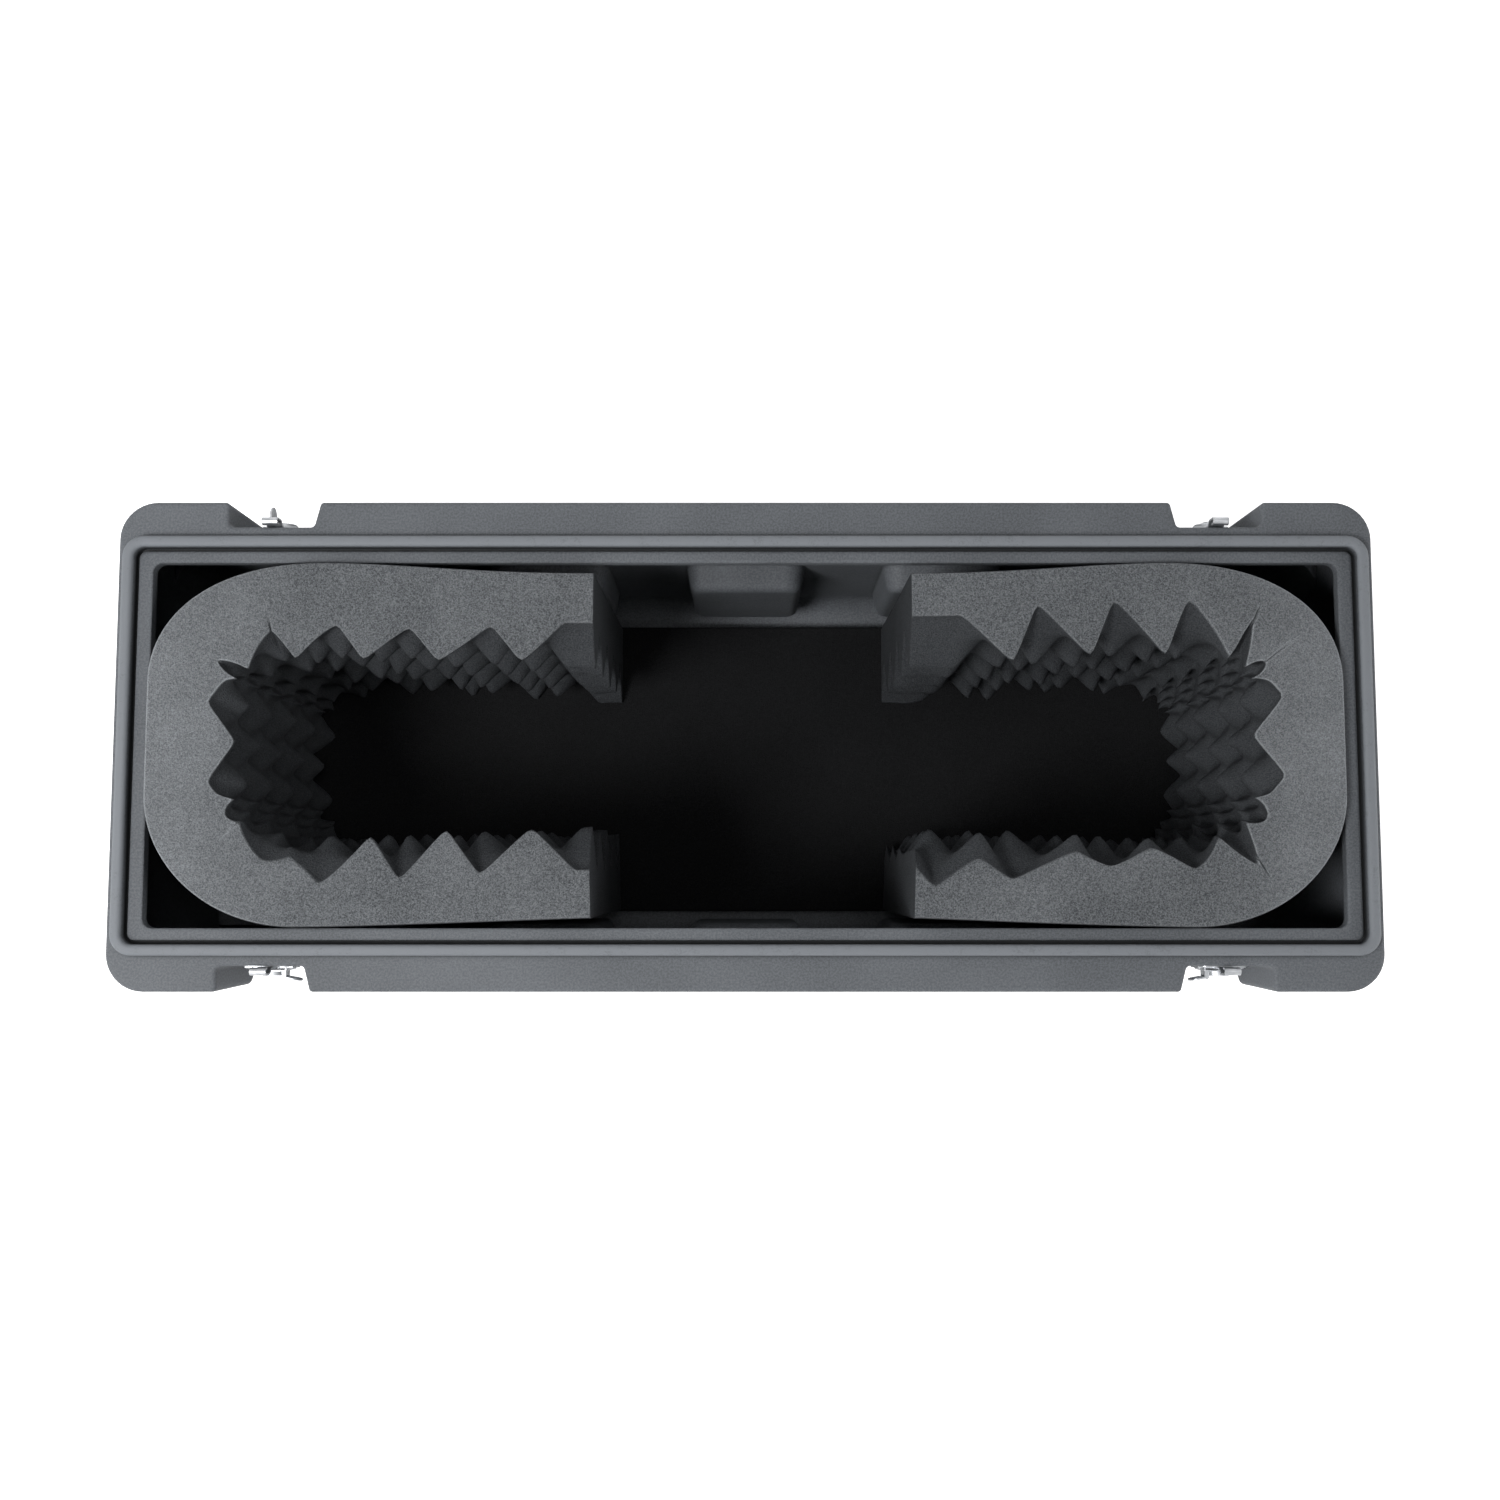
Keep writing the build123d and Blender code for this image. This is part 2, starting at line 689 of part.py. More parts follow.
def handle_dish():
    """Pressed steel dish with a flange round its mouth and pivot holes in its sides."""
    depth = handle_land - recess_floor - dish_gap
    pan = extrude(RectangleRounded(dish_width, dish_height, dish_radius), -depth)
    flange_width = dish_width + 2 * dish_flange
    flange_height = dish_height + 2 * dish_flange
    plate = RectangleRounded(flange_width, flange_height, dish_radius + dish_flange)
    dish = pan + extrude(plate, dish_thickness)
    inner = RectangleRounded(
        dish_width - 2 * dish_thickness, dish_height - 2 * dish_thickness, dish_radius - dish_thickness
    )
    dish -= extrude(Pos(0, 0, dish_thickness - depth) * inner, depth + 5)
    pivot = Pos(0, bail_pivot_rise, -bail_pivot_depth) * Rot(0, 90, 0)
    dish -= pivot * Cylinder(bail_radius + bail_gap, dish_width + 2)
    return dish - [Pos(x, y, 0) * Cylinder(rivet_radius, 10) for x, y in handle_rivet_places()]


def handle_bail():
    """Steel rod bent into a loop, its ends turned out into the dish's sides."""
    tip = dish_width / 2 - 0.3
    half = bail_width / 2
    path = FilletPolyline(
        (-tip, 0, 0), (-half, 0, 0), (-half, -bail_drop, 0), (half, -bail_drop, 0), (half, 0, 0), (tip, 0, 0),
        radius=bail_bend,
    )
    rod = sweep(Plane(origin=(-tip, 0, 0), z_dir=(1, 0, 0)) * Circle(bail_radius), path)
    return Pos(0, bail_pivot_rise, -bail_pivot_depth) * rod


def handle_grip():
    """Ribbed moulded sleeve on the level run of the bail."""
    half = grip_length / 2
    step = grip_length / (2 * grip_rings + 1)
    points = [(-half, bail_radius)]
    for n in range(2 * grip_rings + 1):
        level = grip_radius if n % 2 == 0 else grip_radius - 1.2
        points += [(-half + n * step, level), (-half + (n + 1) * step, level)]
    points.append((half, bail_radius))
    sleeve = revolve(make_face(Polyline(*points, close=True)), Axis.X)
    return Pos(0, bail_pivot_rise - bail_drop, -bail_pivot_depth) * sleeve


def handle_rivets():
    """Four rivets of each handle dish."""
    one = rivet(wall, dish_thickness)
    rivets = []
    for end in ends:
        rivets += [handle_plane(end) * Pos(x, y, 0) * one for x, y in handle_rivet_places()]
    return Compound(rivets)


# Wheels, drawn round the origin with the axle along Y

def wheel_hub():
    """Moulded wheel body: rim, web and bored boss."""
    rim = wheel_radius - tyre_thickness
    half = wheel_width / 2
    bore = axle_radius + axle_gap
    outline = Polyline(
        (bore, -half), (bore + 6, -half), (bore + 6, -4), (rim - 5, -4), (rim - 5, 3 - half),
        (rim, 3 - half), (rim, half - 3), (rim - 5, half - 3), (rim - 5, 4), (bore + 6, 4),
        (bore + 6, half), (bore, half),
        close=True,
    )
    return Rot(90, 0, 0) * revolve(Plane.XZ * make_face(outline), Axis.Z)


def wheel_tyre():
    """Solid rubber tyre with rounded shoulders."""
    rim = wheel_radius - tyre_thickness
    half = wheel_width / 2
    outline = make_face(Polyline(
        (rim, 3 - half), (rim + 2, -half), (wheel_radius, -half), (wheel_radius, half), (rim + 2, half),
        (rim, half - 3),
        close=True,
    ))
    shoulders = outline.vertices().group_by(Axis.X)[-1]
    return Rot(90, 0, 0) * revolve(Plane.XZ * fillet(shoulders, 5), Axis.Z)


def wheel_axle():
    """Headed steel axle through both walls of the well."""
    span = wheel_width / 2 + well_gap + wall
    pin = Cylinder(axle_radius, 2 * span)
    heads = [Pos(0, 0, side * (span + axle_head_thickness / 2)) * Cylinder(axle_head_radius, axle_head_thickness)
             for side in sides.values()]
    return Rot(90, 0, 0) * (pin + heads)


def build_nodes():
    """Every sub-part of the case by name."""
    nodes = {"base_shell": base_shell(), "floor_pad": floor_pad()}
    for end in ends:
        nodes[f"foam_{end}"] = end_pad(end)
    for side in sides:
        for end in ends:
            plane = latch_plane(side, end)
            hand = -ends[end]
            name = f"latch_{side}_{end}"
            nodes[f"{name}_pan"] = plane * latch_pan()
            nodes[f"{name}_cover"] = plane * latch_cover()
            nodes[f"{name}_drum"] = plane * latch_drum(hand)
            nodes[f"{name}_pin"] = plane * latch_pin(hand)
            nodes[f"{name}_flap"] = plane * latch_flap(hand, flap_rest[f"{side}_{end}"])
            nodes[f"{name}_hook"] = plane * latch_hook()
    nodes["latch_rivets"] = latch_rivets()
    for end in ends:
        plane = handle_plane(end)
        nodes[f"handle_{end}_dish"] = plane * handle_dish()
        nodes[f"handle_{end}_bail"] = plane * handle_bail()
        nodes[f"handle_{end}_grip"] = plane * handle_grip()
    nodes["handle_rivets"] = handle_rivets()
    for side in sides:
        place = Pos(wheel_x, sides[side] * wheel_side, wheel_z)
        nodes[f"wheel_{side}_hub"] = place * wheel_hub()
        nodes[f"wheel_{side}_tyre"] = place * wheel_tyre()
        nodes[f"wheel_{side}_axle"] = place * wheel_axle()
    return nodes


os.makedirs("parts", exist_ok=True)
for node, shape in build_nodes().items():
    export_step(shape, f"parts/{node}.step")
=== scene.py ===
"""Open base of a moulded transport case for a flat screen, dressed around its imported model."""

import json
import math

import bpy
import numpy as np
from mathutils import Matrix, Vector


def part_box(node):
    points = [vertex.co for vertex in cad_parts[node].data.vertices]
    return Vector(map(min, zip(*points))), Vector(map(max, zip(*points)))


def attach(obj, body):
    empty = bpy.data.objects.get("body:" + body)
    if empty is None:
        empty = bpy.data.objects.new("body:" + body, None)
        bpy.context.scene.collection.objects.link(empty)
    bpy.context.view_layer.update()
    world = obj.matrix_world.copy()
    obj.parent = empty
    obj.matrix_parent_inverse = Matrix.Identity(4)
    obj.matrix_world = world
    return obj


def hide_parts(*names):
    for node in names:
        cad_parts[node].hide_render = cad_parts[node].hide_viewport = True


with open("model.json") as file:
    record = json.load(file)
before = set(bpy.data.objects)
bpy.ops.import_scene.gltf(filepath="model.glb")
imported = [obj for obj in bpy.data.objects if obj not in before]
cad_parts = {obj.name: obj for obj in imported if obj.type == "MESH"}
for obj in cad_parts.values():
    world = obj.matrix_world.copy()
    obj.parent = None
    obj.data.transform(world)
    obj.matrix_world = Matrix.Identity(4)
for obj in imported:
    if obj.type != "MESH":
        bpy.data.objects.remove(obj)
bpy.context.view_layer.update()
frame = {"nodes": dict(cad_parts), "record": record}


# Shell
# One hollow moulding in dark grey polyethylene, spun in a heated mould. Its faces carry the mould's
# fine blast texture over a faint mottle. Handling has rubbed its edges a little pale. Its raised bead is
# painted paler as a painted highlight, and its grooves are darkened as painted shade.

shell_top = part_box("base_shell")[1].z
tongue_height = 0.010
rim_height = shell_top - tongue_height


class Socket:
    """A shader socket. Arithmetic on it adds Math nodes, and node() adds a node of any other kind."""

    def __init__(self, tree, link=None):
        self.tree = tree
        self.link = link

    def node(self, kind, settings=None, inputs=None, output=0):
        """Adds a node: its settings first, then the values or links of its sockets."""
        made = self.tree.nodes.new("ShaderNode" + kind)
        for name, value in (settings or {}).items():
            setattr(made, name, value)
        for name, value in (inputs or {}).items():
            if isinstance(value, Socket):
                self.tree.links.new(value.link, made.inputs[name])
            else:
                made.inputs[name].default_value = value
        return Socket(self.tree, made.outputs[output])

    def math(self, operation, first, second):
        """Math node on two values."""
        return self.node("Math", {"operation": operation}, {0: first, 1: second})

    def __add__(self, other):
        return self.math("ADD", self, other)

    __radd__ = __add__

    def __sub__(self, other):
        return self.math("SUBTRACT", self, other)

    def __rsub__(self, other):
        return self.math("SUBTRACT", other, self)

    def __mul__(self, other):
        return self.math("MULTIPLY", self, other)

    __rmul__ = __mul__

    def __abs__(self):
        return self.math("ABSOLUTE", self, 0.0)

    def noise(self, size, detail=2.0, roughness=0.5):
        """Noise with features of a size in metres, taken at this place."""
        inputs = {"Vector": self, "Scale": 1 / size, "Detail": detail, "Roughness": roughness}
        return self.node("TexNoise", inputs=inputs)

    def stretch(self, x, y, z):
        """This place scaled along each axis."""
        return self.node("Mapping", inputs={"Vector": self, "Scale": (x, y, z)})

    def axis(self, name):
        """One coordinate of this place."""
        return self.node("SeparateXYZ", inputs={"Vector": self}, output=name)

    def step(self, low, high):
        """0 below a low value, 1 above a high one, eased between."""
        inputs = {"Value": self, "From Min": low, "From Max": high}
        return self.node("MapRange", {"interpolation_type": "SMOOTHSTEP"}, inputs)

    def tint(self, dark, light):
        """Colour between a dark colour at 0 and a light colour, or a socket's colour, at 1."""
        light = light if isinstance(light, Socket) else (*light, 1)
        factor, first, second, colour = 0, 6, 7, 2
        mixed = {factor: self, first: (*dark, 1), second: light}
        return self.node("Mix", {"data_type": "RGBA"}, mixed, output=colour)

    def bump(self, distance, strength, normal):
        """Normal of a surface raised by this height."""
        inputs = {"Height": self, "Distance": distance, "Strength": strength, "Normal": normal}
        return self.node("Bump", inputs=inputs)


def tone(red, green, blue):
    """Linear colour of a display colour in 0 to 255: its share raised by the display's curve."""
    share = np.array([red, green, blue]) / 255
    return tuple(np.where(share > 0.04045, ((share + 0.055) / 1.055) ** 2.4, share / 12.92))


def new_material(name, constants):
    """Material whose shader has these constant values; also returns its shader and object place."""
    made = bpy.data.materials.new(name)
    made.use_nodes = True
    shader = made.node_tree.nodes["Principled BSDF"]
    for socket, value in constants.items():
        shader.inputs[socket].default_value = value
    place = Socket(made.node_tree).node("TexCoord", output="Object")
    return made, shader, place


def feed(shader, name, socket):
    """Links a socket into the shader."""
    socket.tree.links.new(socket.link, shader.inputs[name])


def soft_edge(place, radius):
    """Normal with edges rounded to a radius, and a mask of the edges that it rounds."""
    rounded = place.node("Bevel", inputs={"Radius": radius})
    flat = place.node("NewGeometry", output="Normal")
    both = {0: rounded, 1: flat}
    facing = place.node("VectorMath", {"operation": "DOT_PRODUCT"}, both, output="Value")
    return rounded, (1 - facing).step(0.01, 0.12)


def shell_material():
    """Moulded polyethylene: mottled grey, blast texture, rubbed edges, faint long scuffs, a painted
    highlight on its raised bead and painted shade in its grooves.
    """
    made, shader, place = new_material("moulded_polyethylene", {"Specular IOR Level": 0.35})
    rounded, edge = soft_edge(place, 0.0045)
    mottle = place.noise(0.16, 3).step(0.3, 0.7)
    grain = place.noise(0.0021, 3, 0.7)
    scuff = place.stretch(9, 60, 60).noise(0.35, 5, 0.62).step(0.63, 0.74)
    rub = place.noise(0.03, 4).step(0.35, 0.75) * edge
    # Painted highlight: the raised bead above the rim is painted paler, in streaks along it.
    highlight_streak = place.noise(0.012, 4, 0.65).step(0.2, 0.8)
    tongue_highlight = place.axis("Z").step(rim_height + 0.0035, rim_height + 0.0075) * (0.5 + highlight_streak * 0.6)
    level = mottle * 0.25 + grain.step(0.36, 0.64) * 0.4 + scuff * 0.1 + rub * 0.5 + tongue_highlight
    # Painted shade: ambient occlusion darkens the base colour in the grooves and hollows.
    groove_width = {"Distance": 0.012}
    painted_shade_ao = place.node("AmbientOcclusion", {"only_local": True}, groove_width, output="AO")
    grey = level.tint(tone(78, 81, 85), tone(122, 126, 131))
    feed(shader, "Base Color", painted_shade_ao.step(0.35, 0.85).tint(tone(44, 46, 48), grey))
    feed(shader, "Roughness", 0.56 + grain * 0.1 - scuff * 0.07)
    feed(shader, "Normal", (grain + place.noise(0.006, 2) * 0.6).bump(0.00025, 0.8, rounded))
    return made


def dress(slot, finish):
    """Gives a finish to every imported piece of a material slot."""
    for part in frame["record"]["subparts"]:
        if part["material_slot"] == slot:
            slots = frame["nodes"][part["node"]].data.materials
            slots.clear()
            slots.append(finish)


dress("shell", shell_material())


# Egg-crate foam
# Each end pad is a convoluted foam sheet bent into a U on its edge, smooth against the shell and all
# rounded peaks on its inner side. It is cut square at the top and at its two free ends.

cut_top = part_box("foam_left")[1].z


def bezier(points, share):
    """Cubic curve: the sum of its four points, each by its Bernstein weight at the share."""
    t = share[:, None]
    a, b, c, d = (np.array(point)[None, :] for point in points)
    return a * (1 - t) ** 3 + 3 * b * t * (1 - t) ** 2 + 3 * c * t**2 * (1 - t) + d * t**3


def pad_back_line(half, reach, step, creases):
    """Back of a pad in plan: arm, corner, end wall, corner and arm, each a cubic curve.

    It goes in equal steps, finer at the creases. The first axis runs in from the end wall and the second
    from front to back.
    """
    clearance = 0.0006
    side = half - clearance
    corner_front, corner_rear = 0.1527, 0.1727
    runs = [
        [(reach, 0.0090 - side), (0.35, 0.0062 - side), (0.25, 0.0012 - side), (corner_front, -side)],
        [(corner_front, -side), (0.0642, -side), (0, -0.119), (0, -0.050)],
        [(0, -0.050), (0, -0.013), (0, 0.025), (0, 0.062)],
        [(0, 0.062), (0, 0.1263), (0.0572, side), (corner_rear, side)],
        [(corner_rear, side), (0.25, side), (0.32, side - 0.0105), (reach, side - 0.0105)],
    ]
    dense = np.concatenate([bezier(run, np.linspace(0, 1, 120)) for run in runs])
    gone = np.r_[0, np.cumsum(np.hypot(*np.diff(dense, axis=0).T))]
    keep = np.r_[True, np.diff(gone) > 1e-9]
    dense, gone = dense[keep], gone[keep]
    fine = [place + np.linspace(-0.003, 0.003, 7) for place in creases]
    run = np.unique(np.concatenate([np.linspace(0, gone[-1], int(gone[-1] / step) + 1), *fine]))
    line = np.stack([np.interp(run, gone, dense[:, k]) for k in (0, 1)], axis=1)
    return run, line


def ridge(angle, tip=0.97):
    """Triangle wave with rounded tips: the arcsine of a cosine held just short of 1."""
    return np.arcsin(tip * np.cos(angle)) / np.arcsin(tip)


def pad_thickness(run, bend, depth_down, shape):
    """Foam thickness over the run along the back and the depth below the top.

    The cut top turns at the pad's marks, which are valley, peak and so on from the front free end to the
    rear one, each its run and thickness. Below it this eases into even rows, the middle of valley and
    peak plus half their difference times two triangle waves, one along the run and one down the pad.
    Bends squeeze the valleys, and slow sines make the rows uneven.
    """
    place, thickness = np.array(shape["marks"]).T
    share = (run / run[-1])[:, None]
    down = depth_down[None, :]
    cut_depth, squeeze = 0.016, 0.022
    ease = np.clip(down / cut_depth, 0, 1)
    ease = ease**2 * (3 - 2 * ease)
    wander = 0.0022 * np.sin(31 * share + 9 * down + 1.3) + 0.0012 * np.sin(83 * share + 17 * down)
    turns = np.interp(run[:, None] + wander * ease, place, np.arange(len(place)))
    along = -ridge(np.pi * turns)
    low_top = np.interp(run, place[::2], thickness[::2])[:, None]
    high_top = np.interp(run, place[1::2], thickness[1::2])[:, None]
    cut = (high_top + low_top) / 2 + (high_top - low_top) / 2 * along
    phase = shape["phase"][0] + (shape["phase"][1] - shape["phase"][0]) * share
    rows = ridge(np.pi * down / shape["pitch"] + phase)
    low = shape["valley"] + squeeze * np.clip(bend / 6, 0, 1)[:, None]
    uneven = 0.0016 * np.sin(57 * share + 40 * down) + 0.0010 * np.sin(141 * share - 63 * down)
    high = shape["peak"] + uneven
    return cut * (1 - ease) + ((high + low) / 2 + (high - low) / 2 * along * rows) * ease


def block_surface(name, points):
    """Mesh of the outside of a block of points with axes i, j and k, whose faces point outwards."""
    count = points.shape[:3]
    index = np.arange(np.prod(count)).reshape(count)

    def sheet(grid, flip):
        """Four-sided faces of one side of the block, turned over if flip."""
        a, b, c, d = grid[:-1, :-1], grid[1:, :-1], grid[1:, 1:], grid[:-1, 1:]
        quads = np.stack([a, b, c, d], axis=-1).reshape(-1, 4)
        return quads[:, ::-1] if flip else quads

    quads = np.concatenate([
        sheet(index[0], True), sheet(index[-1], False),
        sheet(index[:, 0], False), sheet(index[:, -1], True),
        sheet(index[:, :, 0], True), sheet(index[:, :, -1], False),
    ])
    used, quads = np.unique(quads, return_inverse=True)
    corners = points.reshape(-1, 3)[used]
    return surface(name, corners, quads.reshape(-1, 4))


def surface(name, corners, faces):
    """Object of a mesh with these corners and faces, shaded smooth but for its sharp edges."""
    mesh = bpy.data.meshes.new(name)
    mesh.from_pydata(corners.tolist(), [], faces.tolist())
    mesh.validate()
    mesh.shade_smooth()
    mesh.set_sharp_from_angle(angle=math.radians(50))
    made = bpy.data.objects.new(name, mesh)
    bpy.context.scene.collection.objects.link(made)
    return made


def foam_pad(name, node, shape):
    """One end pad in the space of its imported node.

    Each point is the back line's point moved inwards by a share of the thickness at its run and height.
    At the top both faces draw in by an amount that dies away with depth, and every crease lowers the top
    by a bell curve across it.
    """
    low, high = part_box(node)
    inward = 1 if low.x + high.x < 0 else -1
    wall_x = low.x if inward > 0 else high.x
    creases = [place for place, start in shape["creases"]]
    run, line = pad_back_line(high.y, high.x - low.x, shape["step"], creases)
    way = np.gradient(line, run, axis=0)
    way /= np.hypot(*way.T)[:, None]
    inner_way = np.stack([way[:, 1], -way[:, 0]], axis=1)
    heading = np.unwrap(np.arctan2(way[:, 1], way[:, 0]))
    bend = np.convolve(np.abs(np.gradient(heading, run)), np.ones(25) / 25, mode="same")
    rows = int((high.z - low.z) / shape["step"])
    height = np.linspace(low.z, high.z, rows + 1)
    below = high.z - height
    thick = pad_thickness(run, bend, below, shape)
    most = 0.94 / np.maximum(bend, 1e-3)[:, None]
    thick = thick * most / (thick**8 + most**8) ** (1 / 8)
    share = np.array([0, 0.03, 0.12, 0.25, 0.4, 0.55, 0.7, 0.82, 0.91, 0.97, 1.0])
    depth = thick[:, :, None] * share
    softness, draw_in = 0.0016, 0.0014
    depth += (draw_in * np.exp(-below / softness))[None, :, None] * (1 - 2 * share)
    plan = line[:, None, None, :] + depth[..., None] * inner_way[:, None, None, :]
    tall = np.broadcast_to(height[None, :, None], depth.shape).copy()
    for place, start in shape["creases"]:
        gap = np.exp(-((run - place) / shape["crease_width"]) ** 2)[:, None, None]
        fade = np.clip((share - start) / 0.25, 0, 1)[None, None, :]
        down = np.exp(-below / 0.02)[None, :, None]
        tall -= shape["crease_depth"] * gap * fade * down
    points = np.stack([wall_x + inward * plan[..., 0], plan[..., 1], tall], axis=-1)
    if inward < 0:
        points = points[::-1]
    made = block_surface(name, points)
    made.data.materials.append(foam)
    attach(made, "case")
    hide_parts(node)
    return made


def foam_material(name, dark, light):
    """Open-cell foam with cell speckle; painted light on its bends, painted shade below the cut top,
    painted highlight on its lips.
    """
    made, shader, place = new_material(name, {"Specular IOR Level": 0.12, "Roughness": 0.95})
    rounded, edge = soft_edge(place, 0.003)
    cells = place.node("TexVoronoi", inputs={"Vector": place, "Scale": 620.0}, output="Distance")
    fine = place.noise(0.0014, 3, 0.7)
    patch = place.noise(0.07, 3).step(0.3, 0.75)
    height = place.axis("Z")
    arm_end, wall_start = 0.44, 0.60
    # Painted light: the foam is painted paler towards the bends at its ends than along the arms'
    # middles.
    bend = abs(place.axis("X")).step(arm_end, wall_start)
    # Painted shade: the faces below the cut top are painted darker, down to a quarter of the top's
    # level.
    cut = height.step(cut_top - 0.0032, cut_top - 0.0007)
    # Painted highlight: a pale line along the top edges, strongest on the bends.
    lip_highlight = edge * height.step(cut_top - 0.007, cut_top - 0.003) * (0.15 + bend * 0.85)
    speckle = fine.step(0.3, 0.7) * 0.38 + cells * 0.14 + patch * 0.08
    level = (speckle + bend * 0.15) * (0.25 + cut * 0.75) + lip_highlight
    feed(shader, "Base Color", level.tint(dark, light))
    feed(shader, "Normal", (fine * 0.7 + cells).bump(0.0009, 0.7, rounded))
    return made


foam = foam_material("charcoal_foam", tone(38, 40, 43), tone(164, 168, 172))
pad_shapes = {
    "left": {
        "valley": 0.047, "peak": 0.091, "phase": (0.0, 0.3),
        "marks": (
            (0.012, 0.049), (0.056, 0.090), (0.108, 0.050), (0.140, 0.092), (0.188, 0.048),
            (0.216, 0.088), (0.268, 0.044), (0.302, 0.068), (0.345, 0.063), (0.418, 0.083),
            (0.450, 0.078), (0.488, 0.090), (0.528, 0.066), (0.568, 0.090), (0.608, 0.064),
            (0.648, 0.090), (0.688, 0.066), (0.735, 0.094), (0.799, 0.066), (0.829, 0.097),
            (0.881, 0.066), (0.912, 0.098), (0.957, 0.066), (0.988, 0.095), (1.037, 0.059),
            (1.068, 0.091), (1.110, 0.052),
        ),
        "creases": ((0.799, 0.68), (0.4208, 0.75)),
    },
    "right": {
        "valley": 0.043, "peak": 0.091, "phase": (-1.02, 0.0),
        "marks": (
            (-0.06, 0.032), (-0.012, 0.060), (0.020, 0.032), (0.062, 0.060), (0.096, 0.0435),
            (0.158, 0.0715), (0.193, 0.0605), (0.233, 0.078), (0.277, 0.0595), (0.325, 0.086),
            (0.368, 0.046), (0.395, 0.086), (0.440, 0.076), (0.480, 0.092), (0.520, 0.064),
            (0.560, 0.092), (0.600, 0.064), (0.640, 0.092), (0.682, 0.074), (0.716, 0.090),
            (0.7465, 0.044), (0.757, 0.087), (0.827, 0.039), (0.855, 0.093), (0.907, 0.040),
            (0.935, 0.091), (0.984, 0.039), (1.012, 0.092), (1.062, 0.045),
        ),
        "creases": ((0.6824, 0.45), (0.7440, 0.45), (0.3725, 0.5)),
    },
}
for end, shape in pad_shapes.items():
    shape.update(pitch=0.0395, step=0.004, crease_depth=0.0035, crease_width=0.0012)
    foam_pad(f"egg_crate_pad_{end}", f"foam_{end}", shape)


# Floor foam
# A flat sheet of foam lies on the case floor under the pads, with its two left corners cut away round
# the wheel wells. It is coloured near black, as painted shade for the deep cavity it lines.

def floor_sheet():
    """Sheet in the space of its node: a notched outline raised to the sheet's thickness."""
    low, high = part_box("floor_pad")
    tyre_room, axle_room = 0.0138, 0.0003
    notch_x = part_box("wheel_rear_tyre")[1].x + tyre_room
    notch_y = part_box("wheel_rear_axle")[0].y - axle_room
    outline = np.array([
        (notch_x, low.y), (high.x, low.y), (high.x, high.y), (notch_x, high.y),
        (notch_x, notch_y), (low.x, notch_y), (low.x, -notch_y), (notch_x, -notch_y),
    ])
    count = len(outline)
    corners = np.concatenate([np.c_[outline, np.full(count, z)] for z in (low.z, high.z)])
    mesh = bpy.data.meshes.new("floor_foam")
    around = [(n, (n + 1) % count, (n + 1) % count + count, n + count) for n in range(count)]
    mesh.from_pydata(corners.tolist(), [], [range(count)[::-1], range(count, 2 * count), *around])
    made = bpy.data.objects.new("floor_foam", mesh)
    bpy.context.scene.collection.objects.link(made)
    soft = made.modifiers.new("cut_edges", "BEVEL")
    soft.width = 0.0025
    soft.segments = 3
    return made


floor_foam = floor_sheet()
# Painted shade: the floor sheet is coloured near black to stand in for the shade deep in the cavity.
floor_foam.data.materials.append(foam_material("floor_foam_painted_shade", tone(18, 18, 19), tone(80, 82, 84)))
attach(floor_foam, "case")
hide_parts("floor_pad")


# Latches
# Rotary draw latches pressed from steel and zinc plated bright: pan, bridge, drum, flap and hook. The
# plating has a fine grain from the press and dulls in small patches.

def zinc_material():
    """Bright zinc plate with a fine grain, dull patches and rubbed edges."""
    made, shader, place = new_material("bright_zinc", {"Metallic": 1.0})
    rounded, edge = soft_edge(place, 0.0004)
    patch = place.noise(0.009, 4).step(0.35, 0.7)
    grain = place.stretch(1, 1, 14).noise(0.0022, 3)
    level = patch * 0.45 + grain * 0.25 + edge * 0.3
    feed(shader, "Base Color", level.tint(tone(182, 185, 189), tone(232, 233, 235)))
    feed(shader, "Roughness", 0.34 + patch * 0.12 + grain * 0.08)
    feed(shader, "Normal", grain.bump(0.00004, 0.5, rounded))
    return made


zinc = zinc_material()
dress("latch_zinc", zinc)


# Handles
# A pressed steel dish and a bent steel bail, both black powder coated, with a ribbed rubber sleeve
# moulded over the level run of the bail.

def coat_material():
    """Black powder coat with orange peel and edges rubbed to a sheen."""
    made, shader, place = new_material("black_powder_coat", {"Specular IOR Level": 0.5})
    rounded, edge = soft_edge(place, 0.0006)
    peel = place.noise(0.0016, 2)
    level = edge * place.noise(0.012, 3).step(0.45, 0.65) + peel * 0.2
    feed(shader, "Base Color", level.tint(tone(30, 31, 33), tone(92, 94, 97)))
    feed(shader, "Roughness", 0.38 + peel * 0.2)
    feed(shader, "Normal", peel.bump(0.00012, 0.6, rounded))
    return made


def rubber_material(name, dark, light, roughness):
    """Matt rubber or soft plastic, a little chalky in patches."""
    made, shader, place = new_material(name, {"Specular IOR Level": 0.3})
    rounded, edge = soft_edge(place, 0.0007)
    chalk = place.noise(0.02, 4, 0.6).step(0.4, 0.8)
    fine = place.noise(0.0009, 2)
    feed(shader, "Base Color", (chalk * 0.6 + fine * 0.2 + edge * 0.25).tint(dark, light))
    feed(shader, "Roughness", roughness + chalk * 0.08)
    feed(shader, "Normal", fine.bump(0.0001, 0.6, rounded))
    return made


dress("handle_steel", coat_material())
dress("grip", rubber_material("grip_rubber", tone(24, 24, 25), tone(52, 53, 55), 0.72))


# Wheels
# Two tilt wheels: grey moulded bodies with solid rubber tyres, on headed steel axles through the walls
# of their wells.

dress("wheel", rubber_material("wheel_plastic", tone(88, 90, 92), tone(128, 130, 132), 0.5))
dress("tyre", rubber_material("tyre_rubber", tone(28, 28, 29), tone(66, 66, 67), 0.78))
dress("axle_steel", zinc)


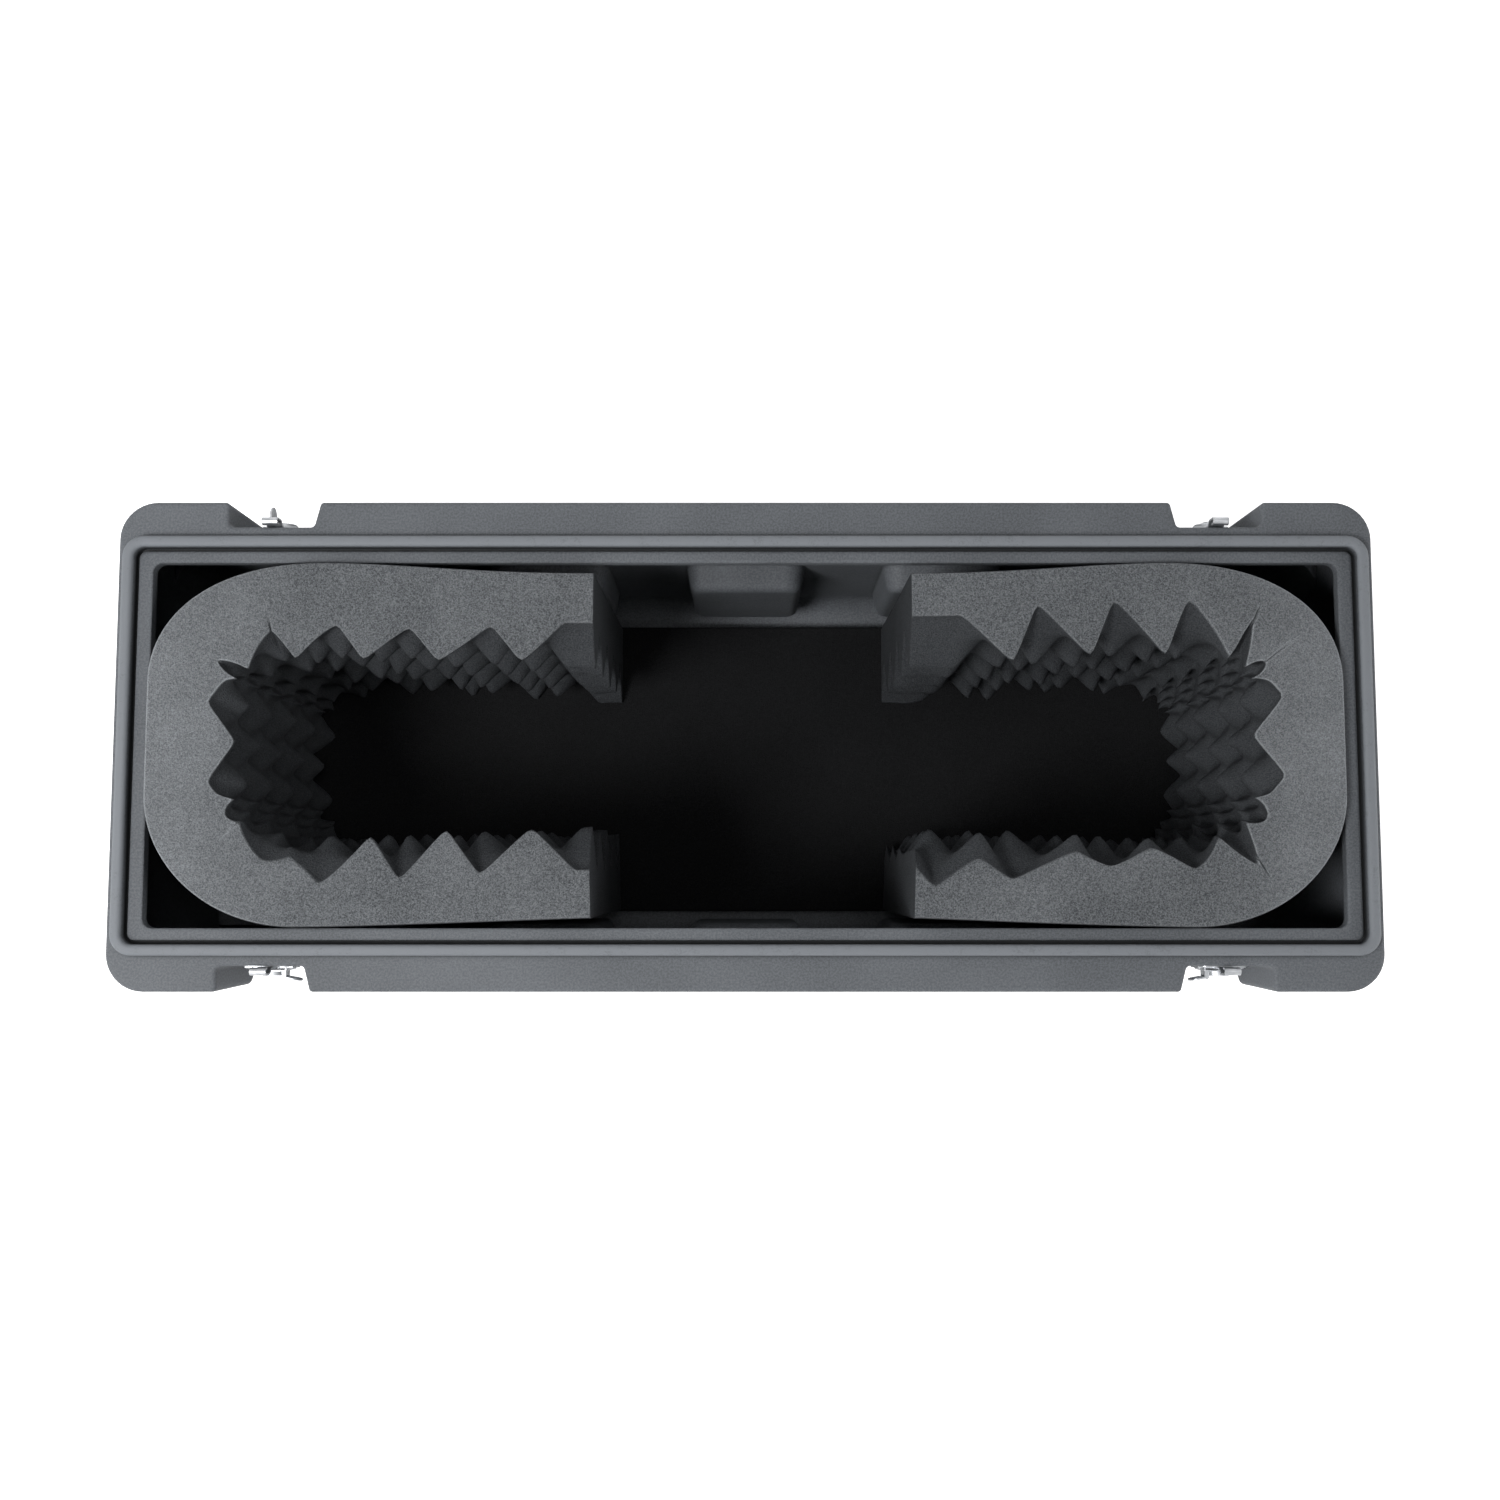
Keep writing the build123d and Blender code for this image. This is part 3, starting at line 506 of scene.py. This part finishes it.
# Floor, light and camera
# A pale floor, a soft key from the front left above, a weaker light overhead and one on each side, an
# even white surround, and a camera that looks almost straight down, as the case was photographed.

def studio_floor():
    """Wide pale floor that glows for the camera alone, so only a faint shadow is left on it."""
    half = 15.0
    corners = np.array([(-half, -half, 0), (half, -half, 0), (half, half, 0), (-half, half, 0)])
    made = surface("studio_floor", corners, np.array([[0, 1, 2, 3]]))
    paint, shader, place = new_material("pale_floor", {
        "Base Color": (0.93, 0.93, 0.93, 1),
        "Roughness": 0.9,
        "Specular IOR Level": 0.0,
        "Emission Strength": 0.86,
    })
    seen = place.node("LightPath", output="Is Camera Ray")
    feed(shader, "Emission Color", seen.tint((0, 0, 0), (1, 1, 1)))
    made.data.materials.append(paint)


def soft_light(name, place, aim, size, power):
    """Square area light at a place, turned to a point."""
    lamp = bpy.data.lights.new(name, "AREA")
    lamp.size = size
    lamp.energy = power
    made = bpy.data.objects.new(name, lamp)
    made.location = place
    x, y, z = np.array(aim) - np.array(place)
    tilt = math.atan2(math.hypot(x, y), -z)
    turn = math.atan2(y, x) - math.pi / 2
    made.rotation_euler = (tilt, 0, turn)
    bpy.context.scene.collection.objects.link(made)


def white_surround(light_level):
    """World that lights evenly at a level, is white to the camera and pale in reflections."""
    world = bpy.data.worlds.new("white_surround")
    bpy.context.scene.world = world
    world.use_nodes = True
    back = world.node_tree.nodes["Background"]
    back.inputs["Color"].default_value = (1, 1, 1, 1)
    tree = world.node_tree
    ray = tree.nodes.new("ShaderNodeLightPath")
    seen = Socket(tree, ray.outputs["Is Camera Ray"])
    glossy = Socket(tree, ray.outputs["Is Glossy Ray"])
    clear = Socket(tree, ray.outputs["Is Transmission Ray"])
    reflected = seen.math("MAXIMUM", glossy * 0.55, clear)
    direct = seen.math("MAXIMUM", seen, reflected)
    level = light_level + direct * (1 - light_level)
    tree.links.new(level.link, back.inputs["Strength"])


studio_floor()
case_middle = (0, 0, 0.3)
soft_light("key", (-1.4, -0.8, 2.7), case_middle, size=0.9, power=58)
soft_light("top", (0.3, 0.2, 4.4), case_middle, size=1.4, power=17)
soft_light("left", (-3.0, -0.4, 1.1), case_middle, size=2.0, power=38)
soft_light("right", (3.0, -0.4, 1.1), case_middle, size=2.0, power=50)
soft_light("front", (0, -3.2, 0.9), case_middle, size=2.2, power=32)
soft_light("rear", (0, 3.2, 0.9), case_middle, size=2.2, power=32)
white_surround(0.05)

view_height = 1.495
lens = bpy.data.cameras.new("camera")
lens.lens = 36
lens.sensor_width = 36
camera = bpy.data.objects.new("camera", lens)
camera.location = (0.0047, -0.1291, rim_height + view_height)
camera.rotation_euler = (math.radians(4.7), 0, 0)
bpy.context.scene.collection.objects.link(camera)
bpy.context.scene.camera = camera
bpy.context.scene.view_settings.view_transform = "Standard"
